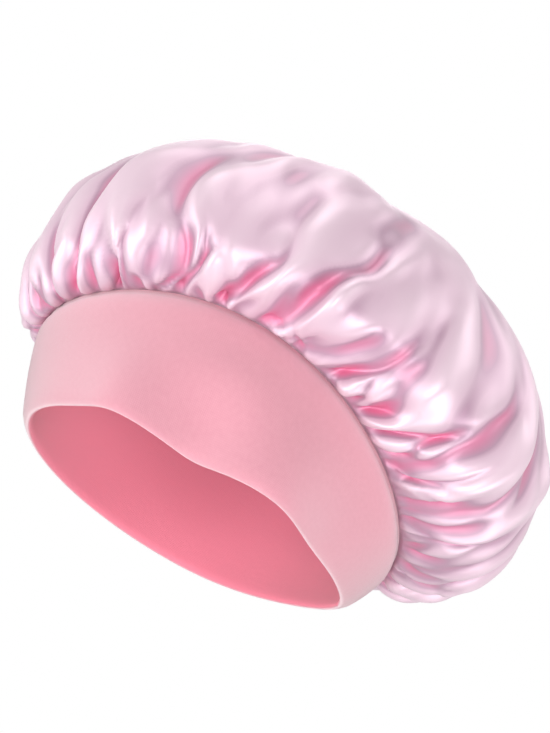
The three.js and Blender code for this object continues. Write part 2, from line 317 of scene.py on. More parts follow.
def band_point(angle, height, depth, lift=0.0):
    """A point of the band by its height over the hem and its depth inside the outer face."""
    angle, height = np.broadcast_arrays(np.asarray(angle, float), np.asarray(height, float))
    rise = (height / seam_height(angle))[..., None]

    def ring(turn):
        return hem_ring(turn) * (1 - rise) + seam_ring(turn) * rise

    along = ring(angle + SMALL_TURN) - ring(angle - SMALL_TURN)
    outward = np.stack([along[..., 1], -along[..., 0]], -1)
    outward /= np.linalg.norm(outward, axis=-1, keepdims=True)
    offset = hem_fall(angle, height) - depth
    place = ring(angle) + outward * offset[..., None]
    return np.concatenate([place, (height + lift)[..., None]], -1)


print("near hem falls inwards by", round(-hem_fall(0.0, 0.0) / MM, 1), "mm")

# %% [markdown]
# ## Helpers for cloth finishes
#
# Cloth patterns could be painted on an image, but nodes that read the cloth's own UV map, in
# metres, keep the yarns the same size everywhere and let them follow the cloth round its folds.
# The helpers here start a material, place a pattern on that map, and make bands, clouds, mixed
# colours and bumps from it.

# %% Material helpers
CLOTH_MAP = "cloth"


def finish(name, colour, roughness, sheen, specular):
    made = bpy.data.materials.new(name)
    made.use_nodes = True
    made.diffuse_color = colour
    shader = made.node_tree.nodes["Principled BSDF"]
    shader.inputs["Base Color"].default_value = colour
    shader.inputs["Roughness"].default_value = roughness
    shader.inputs["Sheen Weight"].default_value = sheen
    shader.inputs["Specular IOR Level"].default_value = specular
    return made, made.node_tree, shader


def cloth_place(tree, width=1, height=1, turn=0.0):
    """The cloth's own coordinates, in which one unit is a repeat of that width and height."""
    uv = node(tree, "ShaderNodeUVMap", uv_map=CLOTH_MAP)
    mapping = node(tree, "ShaderNodeMapping")
    mapping.inputs["Scale"].default_value = (1 / width, 1 / height, 1)
    mapping.inputs["Rotation"].default_value = (0, 0, turn)
    join(tree, uv.outputs["UV"], mapping.inputs["Vector"])
    return mapping.outputs["Vector"]


def attribute(tree, name):
    return node(tree, "ShaderNodeAttribute", attribute_name=name).outputs["Fac"]


print("material helpers ready")

# %% Pattern helpers
ONE_WAVE_PER_UNIT = math.pi / 10


def waves(tree, vector, across="X", profile="SIN"):
    wave = node(tree, "ShaderNodeTexWave", wave_type="BANDS", bands_direction=across,
                wave_profile=profile)
    wave.inputs["Scale"].default_value = ONE_WAVE_PER_UNIT
    join(tree, vector, wave.inputs["Vector"])
    return wave.outputs["Fac"]


def noise(tree, vector, scale, detail):
    cloud = node(tree, "ShaderNodeTexNoise")
    cloud.inputs["Scale"].default_value = scale
    cloud.inputs["Detail"].default_value = detail
    join(tree, vector, cloud.inputs["Vector"])
    return cloud.outputs["Fac"]


def mix_colour(tree, share, first, second):
    made = node(tree, "ShaderNodeMix", data_type="RGBA")
    join(tree, share, made.inputs["Factor"])
    for socket, colour in ((made.inputs[6], first), (made.inputs[7], second)):
        if isinstance(colour, tuple):
            socket.default_value = colour
        else:
            join(tree, colour, socket)
    return made.outputs[2]


def bump(tree, height, distance, strength, under=None):
    made = node(tree, "ShaderNodeBump")
    made.inputs["Distance"].default_value = distance
    made.inputs["Strength"].default_value = strength
    join(tree, height, made.inputs["Height"])
    if under is not None:
        join(tree, under, made.inputs["Normal"])
    return made.outputs["Normal"]


print("pattern helpers ready")

# %% [markdown]
# ## Satin
#
# Satin is smooth because its threads float over many others before they dip under one. Light runs
# along these floats, so the highlight is long and soft: the shader has anisotropy along the
# cloth's own direction and a little sheen. Its colour could be one pink, but the cloth is seen pale
# on the ridges, greyer on level cloth and deep pink down in the folds. A colour ramp paints these
# shades from an attribute that holds each point's height over its surroundings: a painted highlight
# on the ridges, the greyer pink on level cloth, painted shade in the hollows, and in the folds a deep
# pink painted shade for the light that bounces between the walls of cloth.

# %% Satin
# Painted light: a painted highlight for the ridges, painted shade for the hollows, and a deep pink
# painted shade for the folds.
SATIN_RIDGE_HIGHLIGHT = (0.84, 0.63, 0.73, 1)
SATIN_LEVEL = (0.73, 0.51, 0.62, 1)
SATIN_HOLLOW_SHADE = (0.50, 0.30, 0.41, 1)
SATIN_VALLEY_SHADE = (0.75, 0.20, 0.36, 1)
HOLLOW_SHADE_AT, LEVEL_AT = 0.5, 0.67
FOLD_LOW, FOLD_HIGH = -8 * MM, 4 * MM
FOLD_SHADE_MAP = "fold"
SATIN_ROUGH = (0.36, 0.48)
SATIN_YARN, SATIN_BIAS = 0.35 * MM, math.radians(27)

satin, tree, shader = finish("satin_weave", SATIN_RIDGE_HIGHLIGHT, SATIN_ROUGH[0], sheen=0.15, specular=0.8)
shader.inputs["Anisotropic"].default_value = 0.6
shader.inputs["Metallic"].default_value = 0.2
# The ramp paints highlight and shade by height: fold shade, hollow shade, level cloth, ridge
# highlight.
shades = node(tree, "ShaderNodeValToRGB")
join(tree, spread(tree, attribute(tree, FOLD_SHADE_MAP), 0, 1, FOLD_LOW, FOLD_HIGH),
     shades.inputs["Fac"])
for at, colour in ((HOLLOW_SHADE_AT, SATIN_HOLLOW_SHADE), (LEVEL_AT, SATIN_LEVEL)):
    shades.color_ramp.elements.new(at).color = colour
shades.color_ramp.elements[0].color = SATIN_VALLEY_SHADE
shades.color_ramp.elements[-1].color = SATIN_RIDGE_HIGHLIGHT
join(tree, shades.outputs["Color"], shader.inputs["Base Color"])
yarns = waves(tree, cloth_place(tree, SATIN_YARN, SATIN_YARN, SATIN_BIAS))
cloudy = noise(tree, cloth_place(tree), scale=30, detail=2)
join(tree, spread(tree, cloudy, *SATIN_ROUGH), shader.inputs["Roughness"])
crumple = bump(tree, cloudy, distance=2 * MM, strength=0.2)
join(tree, bump(tree, yarns, distance=0.02 * MM, strength=0.4, under=crumple),
     shader.inputs["Normal"])
direction = node(tree, "ShaderNodeTangent", direction_type="UV_MAP", uv_map=CLOTH_MAP)
join(tree, direction.outputs["Tangent"], shader.inputs["Tangent"])
print("satin yarn", SATIN_YARN / MM, "mm")

# %% [markdown]
# ## Fine knit
#
# The band is a matt knit with rows of small loops and a short fuzz that catches light at the edge.
# A knit could be modelled loop by loop, but these loops are under a millimetre, so two sets of
# waves, one each way, give their relief. Two attributes paint light and shade on it: the lining
# inside the band, the same knit, is painted a stronger, warmer pink for the light that bounces
# round inside the band, and the groove at the seam is painted a dark red shade.

# %% Knit
KNIT_PALE = (0.85, 0.33, 0.42, 1)
KNIT_DEEP = (0.82, 0.30, 0.39, 1)
# Painted bounce light: the inside of the band is the same knit, painted a stronger pink.
LINING_BOUNCE_PINK = (0.97, 0.25, 0.35, 1)
# Painted shade: a dark red for the groove at the seam.
GROOVE_SHADE_RED = (0.50, 0.12, 0.19, 1)
LINING_MAP, GROOVE_SHADE_MAP = "lining", "groove"
KNIT_FUZZ, LINING_FUZZ, FUZZ_SPREAD = 1.0, 0.3, 0.7
KNIT_ROUGH = (0.78, 0.92)
MOTTLE_LOW, MOTTLE_HIGH = 0.3, 0.7
KNIT_WALE, KNIT_COURSE = 0.9 * MM, 0.7 * MM

knit, tree, shader = finish("fine_knit", KNIT_PALE, KNIT_ROUGH[0], KNIT_FUZZ, specular=0.3)
shader.inputs["Sheen Roughness"].default_value = FUZZ_SPREAD
loops = cloth_place(tree, KNIT_WALE, KNIT_COURSE)
heap = calculated(tree, "ADD", waves(tree, loops, "X"), waves(tree, loops, "Y", "SAW"))
fuzz = noise(tree, cloth_place(tree), scale=420, detail=4)
mottle = spread(tree, fuzz, 0, 1, MOTTLE_LOW, MOTTLE_HIGH)
lining = attribute(tree, LINING_MAP)
# The lining takes the painted bounce pink over the knit's own mottled pink.
knit_and_bounce = mix_colour(tree, lining, mix_colour(tree, mottle, KNIT_DEEP, KNIT_PALE), LINING_BOUNCE_PINK)
# Painted shade: the groove at the seam is mixed towards a dark red.
join(tree, mix_colour(tree, attribute(tree, GROOVE_SHADE_MAP), knit_and_bounce, GROOVE_SHADE_RED),
     shader.inputs["Base Color"])
join(tree, spread(tree, lining, KNIT_FUZZ, LINING_FUZZ), shader.inputs["Sheen Weight"])
join(tree, spread(tree, fuzz, *KNIT_ROUGH), shader.inputs["Roughness"])
nap = bump(tree, fuzz, distance=0.3 * MM, strength=0.2)
join(tree, bump(tree, heap, distance=0.08 * MM, strength=0.4, under=nap), shader.inputs["Normal"])
print("knit loop", KNIT_WALE / MM, "x", KNIT_COURSE / MM, "mm")

# %% [markdown]
# ## Elastic webbing and thread
#
# The elastic is a woven tape with ribs along it and picks across. It could have a plain colour,
# since it lies hidden, but a multiplied pair of waves gives its weave in a few lines. The thread
# is twisted from strands far thinner than a pixel, so a fine cloud in two pinks is enough for it.
# It reads Object coordinates, because a stitch has no cloth map.

# %% Elastic webbing and thread
ELASTIC_WHITE = (0.86, 0.78, 0.79, 1)
ELASTIC_SHADE = (0.66, 0.56, 0.58, 1)
ELASTIC_RIB, ELASTIC_PICK = 1.4 * MM, 0.9 * MM
THREAD_PINK = (0.74, 0.34, 0.44, 1)
THREAD_LIGHT = (0.86, 0.52, 0.60, 1)

webbing, tree, shader = finish("elastic_webbing", ELASTIC_WHITE, roughness=0.9, sheen=0.1,
                               specular=0.3)
ribs = waves(tree, cloth_place(tree, ELASTIC_RIB, ELASTIC_RIB), "Y")
picks = waves(tree, cloth_place(tree, ELASTIC_PICK, ELASTIC_PICK), "X")
weave = calculated(tree, "MULTIPLY", ribs, picks)
join(tree, mix_colour(tree, weave, ELASTIC_SHADE, ELASTIC_WHITE), shader.inputs["Base Color"])
join(tree, bump(tree, weave, distance=0.3 * MM, strength=0.7), shader.inputs["Normal"])

sewing_thread, tree, shader = finish("sewing_thread", THREAD_PINK, roughness=0.55, sheen=0.2,
                                     specular=0.5)
thread_place = node(tree, "ShaderNodeTexCoord").outputs["Object"]
strands = noise(tree, thread_place, scale=900, detail=2)
join(tree, mix_colour(tree, strands, THREAD_PINK, THREAD_LIGHT), shader.inputs["Base Color"])
join(tree, bump(tree, strands, distance=0.15 * MM, strength=0.5), shader.inputs["Normal"])
print("finishes:", [made.name for made in (satin, knit, webbing, sewing_thread)])

# %% [markdown]
# ## Strips of cloth
#
# Band and elastic are both strips that close to a loop. A strip could be bent along a curve by a
# modifier, but then its places would no longer follow the rings exactly. So a strip is made of
# rows of points that go round the bonnet, with a UV map in metres along and across the cloth, and
# Solidify gives it its thickness on the inside. The steps are finer beside the back seam.

# %% Steps round the ring
RING_STEPS = 240
NAPE = math.pi / 2
NAPE_STEPS = (0, 0.4, 0.9, 1.6, 2.6)
NAPE_SPARE = math.radians(4)


def ring_angles():
    """Even steps round the ring from the back seam on, with finer ones beside that seam."""
    even = np.linspace(NAPE_SPARE, 2 * np.pi - NAPE_SPARE, RING_STEPS)
    fine = np.radians(NAPE_STEPS)
    return NAPE + np.concatenate([fine, even, 2 * np.pi - fine[:0:-1]])


angles = ring_angles()
print(len(angles), "steps round each ring")

# %% Pieces and strips
def new_piece(name, points, faces, material, corner_uv=None):
    mesh = bpy.data.meshes.new(name)
    mesh.from_pydata(np.asarray(points).reshape(-1, 3).tolist(), [], faces)
    mesh.materials.append(material)
    mesh.shade_smooth()
    if corner_uv is not None:
        layer = mesh.uv_layers.new(name=CLOTH_MAP)
        layer.data.foreach_set("uv", np.asarray(corner_uv, np.float32).ravel())
    piece = bpy.data.objects.new(name, mesh)
    scene.collection.objects.link(piece)
    return piece


def strip_piece(name, rows, material):
    """Rows of points that go round the bonnet become a strip of cloth, with its UV in metres."""
    count, columns = rows.shape[:2]
    across = np.linalg.norm(np.diff(rows, axis=0), axis=2).mean(axis=1)
    v = np.concatenate([[0], np.cumsum(across)])
    along = np.linalg.norm(np.roll(rows, -1, axis=1) - rows, axis=2).mean(axis=0)
    u = np.concatenate([[0], np.cumsum(along)])
    faces, corner_uv = [], []
    for row in range(count - 1):
        for column in range(columns):
            after = (column + 1) % columns
            faces.append((row * columns + column, (row + 1) * columns + column,
                          (row + 1) * columns + after, row * columns + after))
            corner_uv += [(u[column], v[row]), (u[column], v[row + 1]),
                          (u[column + 1], v[row + 1]), (u[column + 1], v[row])]
    return new_piece(name, rows, faces, material, corner_uv), u[-1], v[-1]


print("piece and strip helpers ready")

# %% Point values and thickness
def point_values(piece, name, values):
    layer = piece.data.attributes.new(name, "FLOAT", "POINT")
    layer.data.foreach_set("value", values.astype(np.float32))


def settled(piece):
    """Puts the result of the modifiers into the mesh, and takes the modifiers off."""
    depsgraph = bpy.context.evaluated_depsgraph_get()
    mesh = bpy.data.meshes.new_from_object(piece.evaluated_get(depsgraph),
                                           preserve_all_data_layers=True, depsgraph=depsgraph)
    piece.modifiers.clear()
    piece.data = mesh
    mesh.name = piece.name


def thicken(piece, thickness):
    wall = piece.modifiers.new("wall", "SOLIDIFY")
    wall.thickness = thickness
    wall.offset = -1
    settled(piece)


print("thickness helpers ready")

# %% [markdown]
# ## The knit band
#
# The band is one strip of knit, folded lengthwise so that the fold is the hem, with its two raw
# edges sewn into the seam with the crown. It could be modelled as a plain thick ring, but then the
# hem would be a hard edge. Here its section is a list of places: down the outer layer, round the
# hem, up the inner layer. The outer layer swells a little between hem and seam and rolls inwards
# at the seam, which leaves the dark groove that the photograph shows.

# %% Sizes of the band
BAND_DEPTH = 5.1 * MM
SEAM_DEPTH = 3.0 * MM
RAW_EDGE_DEPTH = SEAM_DEPTH + 2.4 * MM
SEAM_ALLOWANCE = 7 * MM
BAND_SWELL, SWELL_FULLNESS = 1.6 * MM, 0.8
HEM_FADE, SEAM_FADE = 5 * MM, 8 * MM
# Height over the hem and depth of the hem's roll, drop below the seam and depth of the seam's, in mm.
HEM_ROLL = ((5.0, 0.0), (3.0, 0.15), (1.6, 0.6), (0.6, 1.3), (0.0, 2.5))
SEAM_ROLL = ((0.0, 3.0), (1.4, 2.7), (2.6, 1.9), (4.2, 0.9), (6.5, 0.25), (9.5, 0.0))
FACE_STEPS = 12
BACK_SEAM_GROOVE, BACK_SEAM_HALF = 0.7 * MM, math.radians(0.9)
WAVE_HEIGHT = 0.35 * MM
SLOW_WAVES = ((3, 40, 0.7), (7, -55, 2.1))


def soft_waves(angle, height):
    """The slow unevenness of a cloth that nobody has ironed."""
    return WAVE_HEIGHT * sum(np.sin(round_count * angle + climb * height + start)
                             for round_count, climb, start in SLOW_WAVES)


print("band is", round(BAND_DEPTH / MM, 1), "mm deep")

# %% Section of the band
def band_rows():
    high = seam_height(angles)
    turned = np.minimum(angles - NAPE, NAPE + 2 * np.pi - angles)
    dip = BACK_SEAM_GROOVE * np.exp(-(turned / BACK_SEAM_HALF) ** 2)
    rows = []

    def outer(height, depth):
        rise = height / high
        swell = BAND_SWELL * np.sin(np.pi * rise) ** SWELL_FULLNESS + soft_waves(angles, height)
        fade = np.clip(np.minimum(height / HEM_FADE, (high - height) / SEAM_FADE), 0, 1)
        rows.append(band_point(angles, height, depth * MM - swell * fade + dip * fade))

    def inner(height, depth):
        rows.append(band_point(angles, height, depth * MM - dip))

    rows.append(band_point(angles, high, SEAM_DEPTH, SEAM_ALLOWANCE))
    for drop, depth in SEAM_ROLL:
        outer(high - drop * MM, depth)
    top, foot = high - SEAM_ROLL[-1][0] * MM, HEM_ROLL[0][0] * MM
    for step in range(1, FACE_STEPS):
        outer(top + (foot - top) * step / FACE_STEPS, 0)
    for height, depth in HEM_ROLL:
        outer(height * MM, depth)
    back = BAND_DEPTH / MM
    for height, depth in reversed(HEM_ROLL[:-1]):
        inner(height * MM, back - depth)
    for step in range(1, FACE_STEPS):
        inner(foot + (high - foot) * step / FACE_STEPS, back)
    rows.append(band_point(angles, high, RAW_EDGE_DEPTH))
    rows.append(band_point(angles, high, RAW_EDGE_DEPTH, SEAM_ALLOWANCE))
    return np.array(rows)


band_section = band_rows()
print("band section has", len(band_section), "rows")

# %% Band
KNIT_WALL = 1.0 * MM
GROOVE_SHADES = (1, 1, 0.8, 0.35)
FIRST_LINING_ROW = len(SEAM_ROLL) + FACE_STEPS + len(HEM_ROLL)

band, band_length, band_width = strip_piece("knit_band", band_section, knit)
band_area = sum(face.area for face in band.data.polygons)
lining_rows, groove_shade_rows = np.zeros((2, len(band_section)))
# The inner layer gets the painted bounce pink.
lining_rows[FIRST_LINING_ROW:] = 1
# The top rows at the seam groove get painted dark shade.
groove_shade_rows[:len(GROOVE_SHADES)] = GROOVE_SHADES
for map_name, row_values in ((LINING_MAP, lining_rows), (GROOVE_SHADE_MAP, groove_shade_rows)):
    point_values(band, map_name, np.repeat(row_values, len(angles)))
thicken(band, KNIT_WALL)
print("knit strip", round(band_length / MM), "x", round(band_width / MM), "mm")

# %% [markdown]
# ## The elastic
#
# A flat woven elastic lies loose in the fold of the band and draws it in. Nobody sees it unless
# the band is cut open, so it could be left out, but it is a piece of its own. It gets its own
# strip with a wall of one millimetre, on the same rings and with the same fall of the hem as the
# band, so that it stays inside the fold.

# %% Elastic
ELASTIC_FOOT, ELASTIC_TOP, ELASTIC_ROWS = 2.5 * MM, 21.5 * MM, 8
ELASTIC_FACE = 2.4 * MM
ELASTIC_WALL = 1.0 * MM

elastic_rows = np.array([band_point(angles, height, ELASTIC_FACE)
                         for height in np.linspace(ELASTIC_TOP, ELASTIC_FOOT, ELASTIC_ROWS)])
elastic, elastic_length, elastic_width = strip_piece("band_elastic_loop", elastic_rows, webbing)
thicken(elastic, ELASTIC_WALL)
print("elastic", round(elastic_length / MM), "x", round(elastic_width / MM), "mm")

# %% [markdown]
# ## The filled crown and its pattern
#
# On a head full of hair the crown is a wide dome that overhangs the seam. The dome could be a
# scaled sphere, but its seam isn't level, so it is worked out line by line: each line runs from
# the top down to the widest place and turns in to the seam. The lengths of these lines also give
# the pattern, the flat oval that the crown is cut from. A square grid pressed into a disc covers
# it, because a fan of triangles would crowd together at the top.

# %% Filled shape of the crown
CROWN_WIDTH, CROWN_LENGTH, CROWN_SHIFT = 264 * MM, 287 * MM, 10 * MM
CROWN_TOP, WIDEST_HEIGHT, WIDEST_TILT = 181 * MM, 84 * MM, 9 * MM
CROWN_ROUNDNESS = 0.81
CROWN_DROOP, FOOT_DROOP = 6 * MM, 2
FOOT_REACH, TURN_RISE = 0.4, 0.35
MERIDIAN_STEPS = 60


def crown_meridians(angle):
    """Points of the filled crown at each angle, from the top down to the seam."""
    sine = np.sin(angle)[:, None]
    seam = band_point(angle, seam_height(angle), SEAM_DEPTH)[:, None]
    seam_place, seam_level = seam[..., :2], seam[..., 2]
    widest = oval_ring(angle, CROWN_WIDTH, CROWN_LENGTH, CROWN_SHIFT, 0)[:, None]
    widest_height = WIDEST_HEIGHT - WIDEST_TILT * sine
    arc = np.linspace(np.pi / 2, 0, MERIDIAN_STEPS)
    reach = np.maximum(np.cos(arc), 0) ** CROWN_ROUNDNESS
    middle = np.array([0, CROWN_SHIFT])
    upper = middle + (widest - middle) * reach[:, None]
    upper_height = (WIDEST_HEIGHT - WIDEST_TILT * sine * reach
                    + (CROWN_TOP - WIDEST_HEIGHT) * np.sin(arc))
    t = np.linspace(1, 0, MERIDIAN_STEPS)[1:]
    droop = CROWN_DROOP * sine ** 2
    share = 3 * (1 - t) ** 2 * t * FOOT_REACH + 3 * (1 - t) * t ** 2 + t ** 3
    lower = seam_place + (widest - seam_place) * share[:, None]
    foot_height = seam_level - FOOT_DROOP * droop
    turn_height = seam_level + TURN_RISE * (widest_height - seam_level) - droop
    lower_height = ((1 - t) ** 3 * seam_level + 3 * (1 - t) ** 2 * t * foot_height
                    + 3 * (1 - t) * t ** 2 * turn_height + t ** 3 * widest_height)
    level = np.concatenate([upper, lower], axis=1)
    height = np.concatenate([upper_height, lower_height], axis=1)
    return np.concatenate([level, height[..., None]], axis=-1)


print("filled crown is", round(CROWN_WIDTH / MM), "x", round(CROWN_LENGTH / MM), "mm wide")

# %% Pattern of the crown
GRID = 100
PATTERN_EASE = 1.03
RIM_FROM = 1 - 1e-6


def round_grid(cells):
    """A square grid pressed into a disc: the radius share and the angle of each corner."""
    steps = np.linspace(-1, 1, cells + 1)
    a, b = np.meshgrid(steps, steps, indexing="ij")
    wide = np.abs(a) > np.abs(b)
    safe_a, safe_b = np.where(a == 0, 1, a), np.where(b == 0, 1, b)
    radius = np.where(wide, a, b)
    angle = np.where(wide, np.pi / 4 * b / safe_a, np.pi / 2 - np.pi / 4 * a / safe_b)
    angle = np.where(radius < 0, angle + np.pi, angle)
    return np.abs(radius).ravel(), angle.ravel()


def crown_pattern(cells):
    """For each corner: its radius share and angle, its place on the cut and on the dome."""
    radius, angle = round_grid(cells)
    lines = crown_meridians(angle)
    steps = np.linalg.norm(np.diff(lines, axis=1), axis=2)
    lengths = np.concatenate([0 * radius[:, None], np.cumsum(steps, axis=1)], axis=1)
    reach = radius * lengths[:, -1]
    filled = np.array([[np.interp(place, length, line[:, axis]) for axis in range(3)]
                       for place, length, line in zip(reach, lengths, lines)])
    flat = PATTERN_EASE * reach[:, None] * np.column_stack([np.cos(angle), np.sin(angle)])
    return radius, angle, flat, filled


crown_radius, crown_angle, crown_flat, crown_filled = crown_pattern(GRID)
crown_rim = crown_radius > RIM_FROM
cut_size = crown_flat.max(axis=0) - crown_flat.min(axis=0)
print("crown is cut from", np.round(cut_size / MM), "mm of satin")

# %% [markdown]
# ## The main folds
#
# The photograph shows some seventeen large folds that rise from the seam and fade towards the top.
# They could be left to chance, but then they would lie elsewhere in each try. So each near fold is
# a row: its angle at the seam, its lean, where it starts and its depth. The far side, which the
# photograph hides, follows a rule. The rows only dent the filled shape that the cloth is drawn to,
# and the simulation makes cloth of them.

# %% Main folds
# Angle at the seam and lean towards the top in degrees, start as a share of the radius, depth in mm.
NEAR_FOLDS = ((-92, -4, 0.55, 7), (-79, -6, 0.6, 7), (-70, -5, 0.7, 5), (-60, -4, 0.5, 9),
              (-48, -5, 0.72, 5), (-30, -10, 0.62, 9), (-19, 7, 0.7, 10), (-8, 15, 0.45, 11),
              (5, 5, 0.72, 7), (15, -3, 0.58, 9), (23, -2, 0.68, 6), (31, 2, 0.74, 6),
              (39, 2, 0.5, 9), (52, -1, 0.75, 5), (59, -2, 0.5, 9), (69, 0, 0.68, 6),
              (79, 0, 0.68, 5))
FAR_FOLDS, FAR_FOLDS_FROM, FAR_FOLD_STEP = 13, 92, 13
# Mean, swing and beat of the same four values on the far side; the angle's mean moves on by steps.
FAR_ANGLE, FAR_LEAN, FAR_START, FAR_DEPTH = (0, 2, 2.1), (0, 3, 2.4), (0.57, 0.13, 1.7), (7, 2, 3.1)
FOLD_FULL = 0.9
FOLD_BEND, BEND_WAVE, BEND_SHIFT = 1.5, 17, 2.3
DENT_HALF, DENT_SHARE, DENT_FADE = math.radians(4.5), 0.68, 0.08


def swung(rule, number):
    mean, swing, beat = rule
    return mean + swing * math.sin(beat * number)


def main_folds():
    far = [(FAR_FOLDS_FROM + FAR_FOLD_STEP * number + swung(FAR_ANGLE, number),
            swung(FAR_LEAN, number), swung(FAR_START, number), swung(FAR_DEPTH, number))
           for number in range(FAR_FOLDS)]
    return list(NEAR_FOLDS) + far


def fold_places(rows, radius, angle):
    """For each fold: how far to its side each point lies, how deep it is there, in metres."""
    for number, (seam_angle, lean, start, depth) in enumerate(rows):
        bend = FOLD_BEND * np.sin(BEND_WAVE * radius + BEND_SHIFT * number)
        line = seam_angle + bend + lean * np.clip((1 - radius) / (1 - start), 0, 1)
        away = np.angle(np.exp(1j * (angle - np.radians(line))))
        full = max(FOLD_FULL, (1 + start) / 2)
        grow = np.clip((radius - start) / (full - start), 0, 1)
        yield away, depth * MM * grow * grow * (3 - 2 * grow)


def dents(radius, angle):
    total = sum(depth * np.exp(-(away / DENT_HALF) ** 2)
                for away, depth in fold_places(main_folds(), radius, angle))
    return DENT_SHARE * total * np.clip((1 - radius) / DENT_FADE, 0, 1)


print(len(main_folds()), "main folds")

# %% [markdown]
# ## Gathering by a simulation
#
# The flat oval is about two and a half times as long round its edge as the seam it is sewn to.
# Pulling that edge in makes the cloth stand up in folds: many small gathers at the seam that run
# together into a few large folds. Sculpting them is slow and looks regular, so Blender's Cloth
# does it here. The flat oval is the resting mesh. A shape key carries its edge, which is pinned,
# to the seam, and weak pins draw the rest towards the dented dome. A little air pressure keeps the
# cloth from falling in. Cloth behaves better at a larger scale, so the work is done ten times
# enlarged.

# %% Grid helpers
def as_grid(places):
    side = math.isqrt(len(places))
    return places.reshape(side, side, -1)


def grid_normals(places):
    grid = as_grid(places)
    normal = np.cross(np.gradient(grid, axis=0), np.gradient(grid, axis=1)).reshape(-1, 3)
    return normal / np.linalg.norm(normal, axis=1, keepdims=True)


def grid_faces(cells):
    index = np.arange((cells + 1) ** 2).reshape(cells + 1, cells + 1)
    return np.stack([index[:-1, :-1], index[1:, :-1], index[1:, 1:], index[:-1, 1:]],
                    -1).reshape(-1, 4).tolist()


print("coarse grid has", GRID ** 2, "cells")

# %% Cloth settings
DRAW_FRAMES, REST_FRAMES = 25, 20


def cloth_settings(cloth):
    fabric = cloth.settings
    fabric.quality = 6
    fabric.mass = 0.05
    fabric.air_damping = 2
    fabric.tension_stiffness = fabric.compression_stiffness = 15
    fabric.shear_stiffness = 5
    fabric.bending_stiffness = 1
    fabric.tension_damping = fabric.compression_damping = fabric.shear_damping = 5
    fabric.bending_damping = 0.5
    fabric.use_pressure = True
    fabric.uniform_pressure_force = 5
    fabric.effector_weights.gravity = 0
    fabric.vertex_group_mass = "pins"
    cloth.collision_settings.use_collision = False
    cloth.point_cache.frame_end = DRAW_FRAMES + REST_FRAMES + 1


print("cloth moves for", DRAW_FRAMES + REST_FRAMES, "frames")

# %% Gather the cloth
ENLARGED = 10
FLAT_HEIGHT, FLAT_DOME = 75 * MM, 30 * MM
FLAT_UNEVEN, UNEVEN_SEED = 0.15 * MM, 7
WEAK_PIN = 0.3


def flat_cloth():
    """The cut, laid flat over the seam with a slight dome and a very slight unevenness."""
    chance = np.random.default_rng(UNEVEN_SEED)
    uneven = chance.normal(0, FLAT_UNEVEN, len(crown_radius)) * ~crown_rim
    start_height = FLAT_HEIGHT + FLAT_DOME * (1 - crown_radius ** 2) + uneven
    start = np.column_stack([crown_flat + (0, CROWN_SHIFT), start_height])
    return new_piece("crown_work", start * ENLARGED, grid_faces(GRID), satin)


def gathered():
    cloth_piece = flat_cloth()
    cloth_piece.shape_key_add(name="flat")
    drawn = cloth_piece.shape_key_add(name="drawn")
    inwards = dents(crown_radius, crown_angle)[:, None] * grid_normals(crown_filled)
    drawn.data.foreach_set("co", ((crown_filled - inwards) * ENLARGED).astype(np.float32).ravel())
    for value, at in ((0, 1), (1, 1 + DRAW_FRAMES)):
        drawn.value = value
        drawn.keyframe_insert("value", frame=at)
    pins = cloth_piece.vertex_groups.new(name="pins")
    pins.add(np.flatnonzero(crown_rim).tolist(), 1, "REPLACE")
    pins.add(np.flatnonzero(~crown_rim).tolist(), WEAK_PIN, "REPLACE")
    cloth_settings(cloth_piece.modifiers.new("cloth", "CLOTH"))
    for at in range(1, DRAW_FRAMES + REST_FRAMES + 1):
        scene.frame_set(at)
    evaluated = cloth_piece.evaluated_get(bpy.context.evaluated_depsgraph_get())
    places = np.zeros(len(crown_radius) * 3)
    evaluated.data.vertices.foreach_get("co", places)
    bpy.data.objects.remove(cloth_piece)
    scene.frame_set(1)
    return places.reshape(-1, 3) / ENLARGED


crown_places = gathered()
print("gathered crown is", np.round(np.ptp(crown_places, axis=0) / MM), "mm over all")

# %% [markdown]
# ## Fitting the crown
#
# A simulation finds its own overall shape, a little too full in one place and too flat in another.
# It could be scaled, but that would move the seam. Instead the difference between the cloth and
# the filled shape is smoothed until only its slow part is left, and that part is added back: the
# crown then has the size it should, and its folds stay. What is left of the difference is smoothed
# a little, and most of it is carried to a grid with twice as many cells each way, which is fine
# enough for small folds.

# %% Fit the crown
FIT_PASSES, KEPT_PASSES, KEPT_SHARE = 120, 6, 0.8
FINE_GRID = 2 * GRID


def smoothed(values, passes):
    """Each point moves half-way to the mean of its four neighbours; the rim stays."""
    grid = as_grid(values).copy()
    for _ in range(passes):
        around = grid[:-2, 1:-1] + grid[2:, 1:-1] + grid[1:-1, :-2] + grid[1:-1, 2:]
        grid[1:-1, 1:-1] = (grid[1:-1, 1:-1] + around / 4) / 2
    return grid.reshape(values.shape)


def doubled(grid):
    """Twice as many rows: each new one lies on a smooth curve through its four neighbours."""
    middle = (grid[:-1] + grid[1:]) / 2
    middle[1:-1] = (9 * (grid[1:-2] + grid[2:-1]) - grid[:-3] - grid[3:]) / 16
    rows = np.empty((2 * len(grid) - 1, *grid.shape[1:]))
    rows[::2], rows[1::2] = grid, middle
    return rows


def finer(places):
    grid = doubled(as_grid(places))
    return doubled(grid.swapaxes(0, 1)).swapaxes(0, 1).reshape(-1, 3)


crown_places = crown_places + smoothed(crown_filled - crown_places, FIT_PASSES)
settling = finer(KEPT_SHARE * smoothed(crown_places - crown_filled, KEPT_PASSES))
crown_radius, crown_angle, crown_flat, crown_filled = crown_pattern(FINE_GRID)
crown_places = crown_filled + settling
outwards = grid_normals(crown_filled)
print("fine grid has", FINE_GRID ** 2, "cells")

